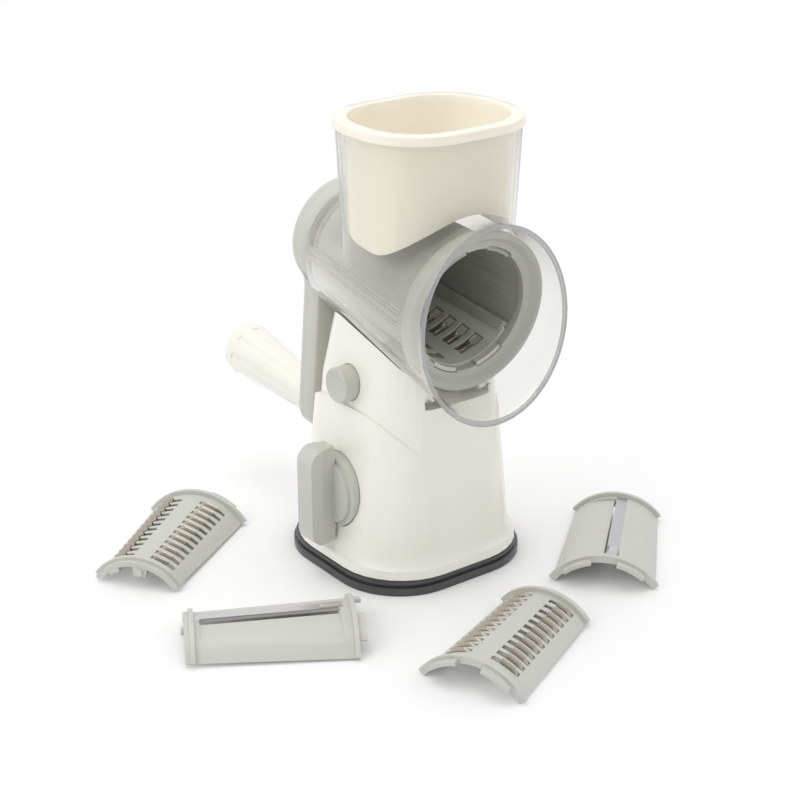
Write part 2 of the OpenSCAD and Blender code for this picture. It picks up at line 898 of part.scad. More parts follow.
module housing() {
    deep = -rail_drop - rail_thickness / 2;
    neck_top = barrel_at(-rail_back) - barrel_round;
    color(clear_plastic)
        difference() {
            union() {
                on_axis() {
                    barrel_solid(0, -barrel_back, 0);
                    post(boss_radius_back, -boss_back, back_wall - barrel_back);
                    translate([-rail_half_width, deep, -rail_back])
                        cube([2 * rail_half_width, rail_thickness, rail_back + rail_front]);
                    for (side = [-1, 1])
                        translate([side * (rail_half_width - rail_lip / 2) - rail_lip / 2, deep,
                                   rail_front - rail_lip])
                            cube([rail_lip, rail_thickness + rail_lip, rail_lip]);
                    translate([-rail_neck_half, deep, -rail_back])
                        cube([2 * rail_neck_half, -deep - neck_top, rail_back + rail_front]);
                    for (side = [0, 1], a = grip_rib_angles)
                        mirror([side, 0, 0])
                            rotate([0, 0, 180 - a])
                                grip_rib();
                }
                hopper_solid(0, 0);
            }
            on_axis() {
                barrel_solid(housing_wall, back_wall - barrel_back, overrun);
                post(hub_radius, -foot_depth, 0);
                translate([-groove_outer, deep - overrun, -rail_back - overrun])
                    cube([groove_outer - groove_inner, overrun + groove_depth,
                          rail_back + overrun + groove_front]);
            }
            hopper_solid(hopper_wall, overrun);
        }
}

// Thin rib along the barrel, at the +x side
module grip_rib() {
    lean = atan(barrel_slope);
    translate([barrel_at(-grip_rib_back), 0, -grip_rib_back])
        rotate([0, lean, 0])
            translate([-overrun, 0, 0])
                cube([overrun + grip_rib_height, grip_rib_width,
                      (grip_rib_front + grip_rib_back) / cos(lean)]);
}

module rear_bush() {
    flange_z = back_wall - barrel_back;
    color(light_grey)
        on_axis()
            difference() {
                union() {
                    post(hub_radius, -bush_back, flange_z);
                    post(bush_flange, flange_z, flange_z + bush_flange_thickness);
                }
                post(journal_radius + running_gap, -bush_back - overrun,
                     flange_z + bush_flange_thickness + overrun);
            }
}

// Section of the pusher at height z, drawn in by an amount
function pusher_ring(width, corner, inset, z) = hopper_ring(width - 2 * inset, corner - inset, z);

module pusher() {
    saddle = pusher_saddle_radius;
    color(ivory)
        difference() {
            union() {
                loft([
                    pusher_ring(pusher_foot_width, pusher_foot_corner, 0, pusher_root),
                    pusher_ring(pusher_foot_width, pusher_foot_corner, 0, hopper_foot_height),
                    pusher_ring(pusher_width, pusher_corner, 0, pusher_rim_z + overrun)
                ]);
                loft([
                    hopper_ring(pusher_rim_width, pusher_rim_corner, pusher_rim_z),
                    hopper_ring(pusher_rim_width, pusher_rim_corner, pusher_top - rim_round),
                    pusher_ring(pusher_rim_width, pusher_rim_corner, rim_round * 0.3,
                                pusher_top - rim_round * 0.3),
                    pusher_ring(pusher_rim_width, pusher_rim_corner, rim_round, pusher_top)
                ]);
            }
            on_axis()
                post(saddle, -saddle_length, 2 * saddle_length);
            difference() {
                loft([
                    pusher_ring(pusher_foot_width, pusher_foot_corner, pusher_wall, pusher_root),
                    pusher_ring(pusher_foot_width, pusher_foot_corner, pusher_wall, hopper_foot_height),
                    pusher_ring(pusher_width, pusher_corner, pusher_wall, pusher_rim_z),
                    pusher_ring(pusher_width, pusher_corner, pusher_wall - rim_round,
                                pusher_top + overrun)
                ]);
                on_axis()
                    post(saddle + pusher_wall, -saddle_length, 2 * saddle_length);
            }
        }
}

// Ring sector about the drum axis, from angle to angle, between two radii
module sector(from, to, r1, r2, z1, z2) {
    rotate([0, 0, from])
        rotate_extrude(angle = to - from)
            translate([r1, z1])
                square([r2 - r1, z2 - z1]);
}

// Slab along one side edge of an insert, from one distance off its edge plane to another
module edge_slab(from, to) {
    middle = (insert_back + insert_front) / 2;
    turn = insert_half_angle - rear_narrowing / 2;
    lean = atan(rear_narrowing * PI / 180 * plate_at(middle) / insert_length);
    far = 2 * ring_radius;
    rotate([0, 0, turn])
        translate([0, 0, middle])
            rotate([-lean, 0, 0])
                translate([0, from, -insert_length])
                    cube([far, to - from, 2 * insert_length]);
}

// Both side slabs, mirrored
module edge_slabs(from, to) {
    for (side = [0, 1])
        mirror([0, side, 0])
            edge_slab(from, to);
}

module drum_cage() {
    reach = insert_half_angle + 2 * rear_narrowing;
    low = -plate_thickness - ledge_thickness - slide_gap;
    window_back = cage_back + cage_disc;
    past = cage_front + overrun;
    color(light_grey)
        on_axis()
            difference() {
                union() {
                    rotate_extrude()
                        polygon([[cage_back_radius - cage_wall, cage_back],
                                 [cage_back_radius, cage_back], [cage_front_radius, cage_front],
                                 [cage_front_radius - cage_wall, cage_front]]);
                    post(cage_back_radius - cage_wall / 2, cage_back, window_back);
                    post(hub_outer, cage_back, cage_back + hub_depth);
                    for (side = [0, 1])
                        mirror([side, 0, 0]) {
                            sector(90 - tab_to, 90 - tab_from, tab_inner, tab_outer,
                                   cage_front - overrun, cage_front + tab_length);
                            sector(90 - tab_to, 90 - tab_from, tab_inner,
                                   cage_front_radius - cage_wall / 2, cage_front - tab_foot,
                                   cage_front - tab_gap);
                            rotate([0, 0, -90])
                                plate_sector(insert_half_angle - 3 * rear_narrowing, reach,
                                             cage_back + cage_disc / 2, cage_front - side_gap, low,
                                             cage_wall / 2);
                        }
                }
                rotate([0, 0, -90]) {
                    difference() {
                        plate_sector(-reach, reach, window_back, past, low + ledge_thickness,
                                     ring_radius);
                        edge_slabs(side_gap, ring_radius);
                    }
                    difference() {
                        sector(-reach, reach, cage_back_radius / 2, ring_radius, window_back, past);
                        edge_slabs(side_gap - ledge_width, ring_radius);
                    }
                    catch_pin(slide_gap, overrun);
                }
                translate([0, 0, cage_back - overrun])
                    rotate([0, 0, 30])
                        cylinder(r = (hex_across / 2 + hex_gap) / cos(30),
                                 h = hub_depth + 2 * overrun, $fn = 6);
            }
}

module drum_ring() {
    socket = cage_front_radius + running_gap;
    lip = 0.8;
    color(light_grey)
        on_axis()
            difference() {
                rotate_extrude()
                    polygon([[socket, ring_back], [ring_skirt, ring_back], [ring_skirt, ring_flange],
                             [ring_radius, ring_flange], [ring_radius, ring_front - lip],
                             [ring_radius - lip, ring_front], [ring_radius - ring_bead + lip, ring_front],
                             [ring_radius - ring_bead, ring_front - lip], [ring_step, ring_face],
                             [ring_bore, ring_face - lip], [ring_bore, cage_front], [socket, cage_front]]);
                for (side = [0, 1], turn = [0, 180])
                    mirror([side, 0, 0])
                        rotate([0, 0, turn - 90])
                            sector(tab_from - tab_gap * 2, tab_to + tab_gap * 2, ring_bore - overrun,
                                   tab_outer + tab_gap, cage_front - overrun, ring_front);
            }
}

// Sector that follows the cone of an insert's plate, between two offsets from its outer face
module plate_sector(from, to, z1, z2, low, high) {
    rotate([0, 0, from])
        rotate_extrude(angle = to - from)
            polygon([[plate_at(z1) + low, z1], [plate_at(z1) + high, z1],
                     [plate_at(z2) + high, z2], [plate_at(z2) + low, z2]]);
}

// Round pin of an insert's catch, grown by a clearance and lengthened
module catch_pin(grow, extra) {
    r = plate_at(insert_back) - plate_thickness - catch_depth / 2;
    rotate([0, 0, (catch_from + catch_to) / 2])
        translate([r, 0, 0])
            post(catch_pin_radius + grow, insert_back - catch_pin_length - extra,
                 insert_back + overrun);
}

// Plain arched plate with its end flanges, front tabs, catch and lug; crown on +x
module insert_body() {
    difference() {
        union() {
            plate_sector(-insert_half_angle, insert_half_angle, insert_back, insert_front,
                         -plate_thickness, 0);
            plate_sector(-insert_half_angle, insert_half_angle, insert_back, insert_back + end_lip,
                         -overrun, end_lip_rise);
            for (z = [insert_back + end_lip, insert_front - flange_width])
                plate_sector(-insert_half_angle, insert_half_angle, z, z + flange_width, -overrun,
                             flange_height);
        }
        edge_slabs(0, insert_length);
    }
    for (from = [-tab_to, tab_from])
        sector(from, from + tab_to - tab_from, tab_inner, tab_outer, insert_front - overrun,
               insert_front + tab_length);
    plate_sector(catch_from, catch_to, insert_back, insert_back + catch_width,
                 -plate_thickness - catch_depth, -overrun);
    plate_sector(lug_from, lug_to, insert_back, insert_back + catch_width,
                 -plate_thickness - lug_depth, -overrun);
    catch_pin(0, 0);
}

// Wedge through the plate for one slot, from angle to angle
module slot_wedge(from, to, z, half) {
    far = 2 * ring_radius;
    translate([0, 0, z - half])
        linear_extrude(2 * half)
            polygon([[0, 0], [far * cos(from), far * sin(from)], [far * cos(to), far * sin(to)]]);
}

// Place along the plate of tooth k in a row of evenly spaced teeth
function tooth_z(k, teeth, span) =
    (insert_back + insert_front) / 2 + (k - (teeth - 1) / 2) * span / teeth;

// Slots of both rows, begun early by an angle
module all_slots(teeth, span, half, early) {
    for (k = [0:teeth - 1], from = [-slot_to, slot_from])
        slot_wedge(from - early, from + slot_to - slot_from, tooth_z(k, teeth, span), half);
}

module steel_sheet() {
    plate_sector(-steel_half_angle, steel_half_angle, insert_back + steel_margin,
                 insert_front - steel_margin, -steel_depth - steel_thickness, -steel_depth);
}

// Profile of a tooth at an angle: an arch that stands on the sheet, seen along the tangent
function tooth_ring(angle, z, half, top, bottom) =
    let (inner = half - steel_thickness,
         rise = top - bottom,
         outside = [
             for (i = [0:tooth_steps])
                 let (a = 180 * i / tooth_steps)
                 [rise * sin(a), half * cos(a)]
         ],
         inside = [
             for (i = [tooth_steps:-1:0])
                 let (a = 180 * i / tooth_steps)
                 [(rise - steel_thickness) * sin(a), inner * cos(a)]
         ])
    [
        for (p = concat(outside, inside))
            [(bottom + p[0]) * cos(angle), (bottom + p[0]) * sin(angle), z + p[1]]
    ];

// Punched tooth: flush with the sheet at its root, soon raised, and open at its cutting edge
module tooth(root, half, z) {
    low = plate_at(z) - steel_depth - steel_thickness * 0.8;
    flush = low + 1.3 * steel_thickness;
    high = plate_at(z) + tooth_rise;
    arch_loft([
        tooth_ring(root - tooth_lap, z, half, flush, low),
        tooth_ring(root + tooth_angle * tooth_shoulder_share, z, half,
                   flush + (high - flush) * tooth_shoulder_rise_share, low),
        tooth_ring(root + tooth_angle, z, half, high, low)
    ]);
}

module grater_frame(teeth, span, half) {
    color(light_grey)
        difference() {
            insert_body();
            all_slots(teeth, span, half + slot_margin, 2 * tooth_lap);
            steel_sheet();
        }
}

// Steel sheet with its punched teeth, all edges facing the same way round
module grater_blade(teeth, span, half) {
    color(steel_grey)
        union() {
            difference() {
                steel_sheet();
                all_slots(teeth, span, half + slot_margin, 0);
            }
            for (k = [0:teeth - 1], from = [-slot_to, slot_from])
                tooth(from, half, tooth_z(k, teeth, span));
        }
}

// Steel strip of a slicing insert, let into the top of the plate
module slicer_strip() {
    plate_sector(-blade_angle, 0, insert_back + slicer_margin - end_lip,
                 insert_front - slicer_margin + end_lip, -steel_thickness, 0);
}

// Room over the ramp that leads down to the slit, hollowed to the round of the plate
module slicer_ramp(z1, z2) {
    r = plate_at((z1 + z2) / 2);
    shift = ramp_depth / sin(ramp_angle);
    translate([plate_at(z1), 0, z1])
        rotate([0, atan(plate_slope), 0])
            difference() {
                translate([-r / 3, ramp_start, 0])
                    cube([r / 3 + flange_height, ramp_reach, z2 - z1]);
                translate([-r - shift * sin(ramp_angle), shift * cos(ramp_angle), -overrun])
                    cylinder(r = r, h = z2 - z1 + 2 * overrun);
            }
}

module slicer_frame(cut) {
    slit = cut / plate_at((insert_back + insert_front) / 2) * 180 / PI;
    z1 = insert_back + slicer_margin;
    z2 = insert_front - slicer_margin;
    color(light_grey)
        difference() {
            insert_body();
            plate_sector(0, slit, z1, z2, -plate_thickness - overrun, flange_height);
            slicer_ramp(z1 - ramp_margin, z2 + ramp_margin);
            slicer_strip();
        }
}

module slicer_blade() {
    color(steel_grey)
        slicer_strip();
}

// Puts an insert in the drum
module in_drum() {
    on_axis()
        rotate([0, 0, -90])
            children();
}

// Lays an insert on the table, its front end pointing along the heading
module on_table(x, y, heading) {
    lean = atan(plate_slope * cos(insert_half_angle));
    middle = (insert_back + insert_front) / 2;
    drop = (plate_at(middle) - plate_thickness) * cos(insert_half_angle) / cos(lean);
    translate([x, y, table_gap - drop])
        rotate([0, 0, heading])
            rotate([0, lean, 0])
                rotate([0, -90, 180])
                    translate([0, 0, -middle])
                        children();
}

module drum_insert_frame() {
    in_drum() grater_frame(teeth_in_drum, drum_row_length, drum_tooth_half);
}

module drum_insert_blade() {
    in_drum() grater_blade(teeth_in_drum, drum_row_length, drum_tooth_half);
}

module fine_frame() {
    on_table(fine_x, fine_y, fine_heading) grater_frame(teeth_in_row, row_length, fine_tooth_half);
}

module fine_blade() {
    on_table(fine_x, fine_y, fine_heading) grater_blade(teeth_in_row, row_length, fine_tooth_half);
}

module coarse_frame() {
    on_table(coarse_x, coarse_y, coarse_heading)
        grater_frame(teeth_in_row, row_length, coarse_tooth_half);
}

module coarse_blade() {
    on_table(coarse_x, coarse_y, coarse_heading)
        grater_blade(teeth_in_row, row_length, coarse_tooth_half);
}

module thick_frame() {
    on_table(thick_x, thick_y, thick_heading) slicer_frame(thick_cut);
}

module thick_blade() {
    on_table(thick_x, thick_y, thick_heading) slicer_blade();
}

module thin_frame() {
    on_table(thin_x, thin_y, thin_heading) slicer_frame(thin_cut);
}

module thin_blade() {
    on_table(thin_x, thin_y, thin_heading) slicer_blade();
}

// Outline of the crank, drawn in by an inset, at depth z; the arm points down
function crank_ring(inset, z) =
    let (taper = asin((arm_half_width - arm_end_radius) / crank_throw),
         along = sqrt(pow(head_radius + neck_fillet, 2) - pow(arm_half_width + neck_fillet, 2)),
         cx = (arm_half_width + neck_fillet) * cos(taper) - along * sin(taper),
         cy = -(arm_half_width + neck_fillet) * sin(taper) - along * cos(taper),
         swing = atan2(cy, cx),
         tip = arm_end_radius - inset,
         hollow = neck_fillet + inset,
         head = head_radius - inset)
    concat(
        [
            for (i = [0:2 * arc_steps])
                let (a = 180 + taper + (180 - 2 * taper) * i / (2 * arc_steps))
                [tip * cos(a), tip * sin(a) - crank_throw, z]
        ],
        [
            for (i = [0:arc_steps / 2])
                let (a = 180 - taper + (taper + swing) * 2 * i / arc_steps)
                [cx + hollow * cos(a), cy + hollow * sin(a), z]
        ],
        [
            for (i = [1:3 * arc_steps])
                let (a = swing + (180 - 2 * swing) * i / (3 * arc_steps))
                [head * cos(a), head * sin(a), z]
        ],
        [
            for (i = [1:arc_steps / 2])
                let (a = -swing + (taper + swing) * 2 * i / arc_steps)
                [-cx + hollow * cos(a), cy + hollow * sin(a), z]
        ]
    );

// Crank frame: as the drum frame, swung so that the arm points along -y
module on_crank() {
    on_axis()
        rotate([0, 0, -crank_swing])
            children();
}

// Screws that hold the two halves of the crank together
module screw_spots() {
    for (d = crank_screw_spots)
        translate([0, -d, 0])
            children();
}

// Room for the head of the drive shaft and of the grip's axle between the halves
module crank_pockets() {
    middle = -shell_line;
    post(shaft_head_radius, middle - shaft_head_thickness / 2, middle + shaft_head_thickness / 2);
    translate([0, -crank_throw, 0])
        post(axle_head_radius, middle, middle + axle_head_thickness);
}

module crank_front_shell() {
    soft = crank_round * 0.3;
    color(light_grey)
        on_crank()
            difference() {
                hollow_loft([
                    crank_ring(0, -shell_line),
                    crank_ring(0, -crank_front - crank_round),
                    crank_ring(soft, -crank_front - soft),
                    crank_ring(crank_round, -crank_front)
                ], crank_heart);
                crank_pockets();
                post(journal_radius, -shell_line, overrun);
                screw_spots()
                    post(crank_screw_radius, -shell_line - overrun, -shell_line + crank_thickness / 3);
            }
}

module crank_back_shell() {
    soft = crank_round * 0.3;
    color(light_grey)
        on_crank()
            difference() {
                hollow_loft([
                    crank_ring(crank_round, -crank_back),
                    crank_ring(soft, -crank_back + soft),
                    crank_ring(0, -crank_back + crank_round),
                    crank_ring(0, -shell_line)
                ], crank_heart);
                crank_pockets();
                translate([0, -crank_throw, 0])
                    post(grip_axle_radius, -crank_back - overrun, 0);
                screw_spots() {
                    post(crank_screw_radius, -crank_back - overrun, 0);
                    post(crank_screw_head, -crank_back - overrun,
                         -crank_back + crank_screw_cap + crank_screw_sink);
                }
            }
}

module drive_shaft() {
    head_back = -shell_line - shaft_head_thickness / 2;
    journal_end = cage_back - face_gap;
    color(light_grey)
        on_crank()
            difference() {
                union() {
                    post(shaft_head_radius, head_back, head_back + shaft_head_thickness);
                    post(journal_radius, head_back, journal_end);
                    translate([0, 0, journal_end - overrun])
                        rotate([0, 0, 30 + crank_swing])
                            cylinder(r = hex_across / 2 / cos(30),
                                     h = overrun - journal_end - shaft_end, $fn = 6);
                }
                post(crank_screw_radius, head_back - overrun, -shell_line + crank_thickness / 3);
            }
}

module crank_screws() {
    bottom = -crank_back + crank_screw_sink;
    color(steel_grey)
        on_crank()
            screw_spots()
                difference() {
                    union() {
                        post(crank_screw_head, bottom, bottom + crank_screw_cap);
                        post(crank_screw_radius, bottom, -shell_line + crank_thickness / 3);
                    }
                    for (a = [0, 90])
                        rotate([0, 0, a])
                            translate([-crank_screw_radius, -crank_screw_radius / 4, bottom - overrun])
                                cube([2 * crank_screw_radius, crank_screw_radius / 2,
                                      overrun + crank_screw_cap / 2]);
                }
}

// Grip frame: z runs from the arm to the grip's free end
module on_grip() {
    on_crank()
        translate([0, -crank_throw, -crank_back])
            rotate([0, 180, 0])
                children();
}

module grip() {
    first = grip_gap;
    swell = grip_length - 2 * grip_round;
    lean = atan((grip_end_radius - grip_root_radius) / swell);
    color(ivory)
        on_grip()
            difference() {
                rotate_extrude()
                    polygon(concat(
                        [[0, first], [grip_root_radius - rim_round, first],
                         [grip_root_radius, first + rim_round], [grip_end_radius, swell]],
                        [
                            for (i = [1:corner_steps])
                                let (a = 90 * i / corner_steps)
                                [grip_end_radius - 2 * grip_round * (1 - cos(a)),
                                 swell + 2 * grip_round * sin(a)]
                        ],
                        [[0, grip_length]]
                    ));
                post(grip_axle_radius + running_gap, 0, grip_length);
                post(axle_collar + slide_gap, grip_length - axle_recess, grip_length + overrun);
                post(grip_cap_radius, grip_length - grip_cap_thickness, grip_length + overrun);
                for (i = [0:grip_flutes - 1])
                    rotate([0, 0, 360 * i / grip_flutes])
                        translate([grip_root_radius + flute_radius, 0, 0])
                            rotate([0, lean, 0])
                                translate([-flute_depth * (1 - cos(lean)) - flute_depth, 0, 2 * grip_round])
                                    cylinder(r = flute_radius, h = swell - 3 * grip_round, $fn = 48);
            }
}

module grip_axle() {
    far = grip_length - axle_recess + face_gap;
    head = shell_line - crank_back;
    color(steel_grey)
        on_grip() {
            post(axle_head_radius, head - axle_head_thickness, head);
            post(grip_axle_radius, head - axle_head_thickness, far);
            post(axle_collar, far, far + axle_collar_thickness);
        }
}

module grip_cap() {
    color(ivory)
        on_grip()
            post(grip_cap_radius, grip_length - grip_cap_thickness, grip_length);
}

body_shell();
base_plate();
foot_ring();
suction_cup();
base_screws();
suction_lever();
lever_clip();
pull_rod();
release_button();
button_spring();
housing();
rear_bush();
pusher();
drum_cage();
drum_ring();
drum_insert_frame();
drum_insert_blade();
crank_front_shell();
crank_back_shell();
drive_shaft();
crank_screws();
grip();
grip_axle();
grip_cap();
fine_frame();
fine_blade();
thick_frame();
thick_blade();
coarse_frame();
coarse_blade();
thin_frame();
thin_blade();
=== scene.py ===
"""Looks of a hand-cranked drum shredder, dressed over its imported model.

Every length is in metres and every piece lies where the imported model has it: Z up, the mouth of the
drum towards -Y, the suction lever and the release button on the -X side.
"""
import json
from math import cos, radians, sin

import bpy
from bpy.props import FloatProperty, FloatVectorProperty, PointerProperty, StringProperty
from mathutils import Matrix, Vector

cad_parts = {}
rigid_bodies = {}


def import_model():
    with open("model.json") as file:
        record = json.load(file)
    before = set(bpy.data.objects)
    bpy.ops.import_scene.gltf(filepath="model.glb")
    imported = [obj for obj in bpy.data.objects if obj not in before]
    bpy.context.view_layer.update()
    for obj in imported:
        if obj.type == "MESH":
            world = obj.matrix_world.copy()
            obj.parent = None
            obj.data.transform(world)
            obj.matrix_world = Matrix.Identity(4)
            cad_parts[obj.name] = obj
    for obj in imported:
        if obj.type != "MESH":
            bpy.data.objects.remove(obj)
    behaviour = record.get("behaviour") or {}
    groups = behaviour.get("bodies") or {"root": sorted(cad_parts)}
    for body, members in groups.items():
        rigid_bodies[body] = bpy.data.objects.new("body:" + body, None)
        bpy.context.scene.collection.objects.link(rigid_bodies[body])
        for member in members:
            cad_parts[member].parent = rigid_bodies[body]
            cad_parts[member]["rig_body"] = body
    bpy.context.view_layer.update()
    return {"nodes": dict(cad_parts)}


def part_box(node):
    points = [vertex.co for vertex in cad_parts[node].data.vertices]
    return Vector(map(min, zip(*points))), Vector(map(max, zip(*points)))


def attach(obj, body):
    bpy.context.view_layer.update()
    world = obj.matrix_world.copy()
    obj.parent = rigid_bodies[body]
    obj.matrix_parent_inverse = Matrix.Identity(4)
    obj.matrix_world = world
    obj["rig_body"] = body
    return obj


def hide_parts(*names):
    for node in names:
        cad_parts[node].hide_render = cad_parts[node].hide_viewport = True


bl_info = {
    "name": "Drum Shredder",
    "version": (1, 0, 0),
    "blender": (4, 5, 0),
    "location": "View3D > Sidebar > Shredder",
    "description": "Finishes, eased edges, small moulded detail and studio for a drum shredder",
    "category": "Object",
}

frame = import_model()
NODES = frame["nodes"]
BODY_OF = {name: ob["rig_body"] for name, ob in NODES.items()}

# The drum's axis: where it crosses the middle of the tool, how far it dips towards the mouth, the way
# it runs, out of the mouth, and the way at right angles to it that points up
AXIS_POINT = Vector((0, 0, 0.1748))
AXIS_DIP = radians(6.4)
AXIS = Vector((0, -cos(AXIS_DIP), -sin(AXIS_DIP)))
UP = Vector((0, AXIS.z, -AXIS.y))
# The rim of the mouth leans back: a point just behind its end, and the way that it faces
# The faces in front of this point are painted a denser grey, as shade where light bends through the rim.
RIM_LEAN = radians(10.3)
RIM_WAY = AXIS * cos(RIM_LEAN) + UP * sin(RIM_LEAN)
RIM_POINT = AXIS_POINT + AXIS * 0.0808 - UP * 0.0013
# The clear foot's front end, which shows in the body's front: half its width, how far it lies under
# the drum's axis, and where it begins and ends along it
# Its faces are painted a denser grey, as shade seen through the end of the clear wall.
FOOT_HALF = 0.0235
FOOT_UNDER = 0.0500
FOOT_END = (0.0545, 0.0580)
# The barrel's grip ribs: where they begin and end along the axis, their band below and above it, how far
# out their sides reach at least, and how far a face must lean from the round to count as a side
# The rib sides so chosen are painted with highlight lines.
RIB_ENDS = (-0.062, 0.050)
RIB_BAND = (-0.040, 0.018)
RIB_OUT = 0.0437
RIB_LEAN = 0.75
# Where the crank's two halves meet, along the drum's axis
SEAM = -0.0600
# Slots of the insert in the drum, two rows either side of its bottom: how many in a row, how far apart,
# where their middle is along the axis and round it in degrees, how far out, and their length and width
SLOTS = 7
SLOT_PITCH = 0.0119
SLOT_CENTRE = 0.00915
SLOT_TURN = 23.5
SLOT_OUT = 0.0360
SLOT_LENGTH = 0.0168
SLOT_WIDTH = 0.0084
# Where the two slicing inserts on the table point, in degrees about Z
THICK_HEADING = -28.7
THIN_HEADING = -137.8
# Radii on the edges of single pieces
LEVER_EDGE = 0.0012
BUTTON_EDGE = 0.0005
HOUSING_EDGE = 0.0005
PUSHER_EDGE = 0.0006
GRIP_EDGE = 0.0010
CAP_EDGE = 0.0003
INSERT_EDGE = 0.0003
# How deep the button's stippled face is, and how much a normal may lean from the face's
STIPPLE_SKIN = 0.001
STIPPLE_LEAN = 0.9
# Points of a CAD mesh closer than this are one point, and facets flatter than this angle are one face
MERGE = 2e-6
FLAT = radians(0.6)
# The floor: its radius, and how far from the tool the camera sees it fade from paper to pure white
FLOOR_RADIUS = 9.0
FADE = (0.10, 0.34)
# The world is brightest the way that this points, over this span of the cosine to it
LIGHT_WAY = (-0.1, 0.8, 0.6)
LIGHT_SPAN = (-0.9, 0.7)
# Softboxes: name, place, size and share of the main one's power. They face the middle of the tool.
SOFTBOXES = (
    ("key", (-1.5, 0.1, 1.25), 1.1, 1.0),
    ("fill", (1.4, -0.7, 1.0), 1.0, 0.5),
    ("top", (0.0, 0.3, 1.9), 1.3, 1.75))
LIT_POINT = Vector((0, 0, 0.12))


# Colours and nodes

def linear(text, alpha=1.0):
    """Linear colour of an sRGB hex value such as "#f2efe4"."""
    parts = [int(text[i:i + 2], 16) / 255 for i in (1, 3, 5)]
    return [p / 12.92 if p <= 0.04045 else ((p + 0.055) / 1.055) ** 2.4 for p in parts] + [alpha]


def add(tree, kind, values=None, links=None, **settings):
    """A node of the tree with its settings, its sockets' values and the outputs that feed them."""
    new = tree.nodes.new(kind)
    for name, value in settings.items():
        setattr(new, name, value)
    for name, value in (values or {}).items():
        new.inputs[name].default_value = value
    for name, source in (links or {}).items():
        tree.links.new(source, new.inputs[name])
    return new


def new_material(name):
    """An empty material and its tree, with Object coordinates as a first output."""
    made = bpy.data.materials.new(name)
    made.use_nodes = True
    made.node_tree.nodes.clear()
    place = add(made.node_tree, "ShaderNodeTexCoord").outputs["Object"]
    return made, made.node_tree, place


def end_material(tree, surface):
    add(tree, "ShaderNodeOutputMaterial", links={"Surface": surface})


# ABS, injection moulded in a polished tool: even ivory colour, a clear soft gloss, and a long faint
# ripple where the melt flowed, which breaks up the reflections on large walls.
def polished_abs(name, colour, shade, rough):
    made, tree, place = new_material(name)
    flow = add(tree, "ShaderNodeTexNoise", {"Scale": 28.0, "Detail": 2.0, "Roughness": 0.4},
               {"Vector": place})
    fine = add(tree, "ShaderNodeTexNoise", {"Scale": 900.0, "Detail": 2.0}, {"Vector": place})
    share = add(tree, "ShaderNodeMapRange", {"From Min": 0.35, "From Max": 0.8, "To Max": 0.3},
                {"Value": flow.outputs["Fac"]})
    tint = add(tree, "ShaderNodeMix", {"A": linear(colour), "B": linear(shade)},
               {"Factor": share.outputs["Result"]}, data_type="RGBA")
    haze = add(tree, "ShaderNodeMapRange", {"To Min": rough - 0.04, "To Max": rough + 0.06},
               {"Value": fine.outputs["Fac"]})
    ripple = add(tree, "ShaderNodeBump", {"Strength": 0.1, "Distance": 0.0006},
                 {"Height": flow.outputs["Fac"]})
    skin = add(tree, "ShaderNodeBump", {"Strength": 0.04, "Distance": 0.00006},
               {"Height": fine.outputs["Fac"], "Normal": ripple.outputs["Normal"]})
    shell = add(tree, "ShaderNodeBsdfPrincipled", {"IOR": 1.52},
                {"Base Color": tint.outputs["Result"], "Roughness": haze.outputs["Result"],
                 "Normal": skin.outputs["Normal"]})
    end_material(tree, shell.outputs["BSDF"])
    return made


# ABS from a spark-eroded tool: a fine even grain of about 0.15 mm that turns the gloss to satin. The
# grain is drawn at about 0.7 mm so that it shows, with a relief as deep as the last value, in metres.
def satin_abs(name, colour, shade, rough, grain, depth):
    made, tree, place = new_material(name)
    cells = add(tree, "ShaderNodeTexNoise", {"Scale": grain, "Detail": 3.0, "Roughness": 0.6},
                {"Vector": place})
    cloud = add(tree, "ShaderNodeTexNoise", {"Scale": 35.0, "Detail": 2.0}, {"Vector": place})
    share = add(tree, "ShaderNodeMapRange", {"From Min": 0.3, "From Max": 0.8, "To Max": 0.25},
                {"Value": cloud.outputs["Fac"]})
    tint = add(tree, "ShaderNodeMix", {"A": linear(colour), "B": linear(shade)},
               {"Factor": share.outputs["Result"]}, data_type="RGBA")
    haze = add(tree, "ShaderNodeMapRange", {"To Min": rough - 0.06, "To Max": rough + 0.08},
               {"Value": cells.outputs["Fac"]})
    skin = add(tree, "ShaderNodeBump", {"Strength": 1.0, "Distance": depth},
               {"Height": cells.outputs["Fac"]})
    shell = add(tree, "ShaderNodeBsdfPrincipled", {"IOR": 1.5},
                {"Base Color": tint.outputs["Result"], "Roughness": haze.outputs["Result"],
                 "Normal": skin.outputs["Normal"]})
    end_material(tree, shell.outputs["BSDF"])
    return made
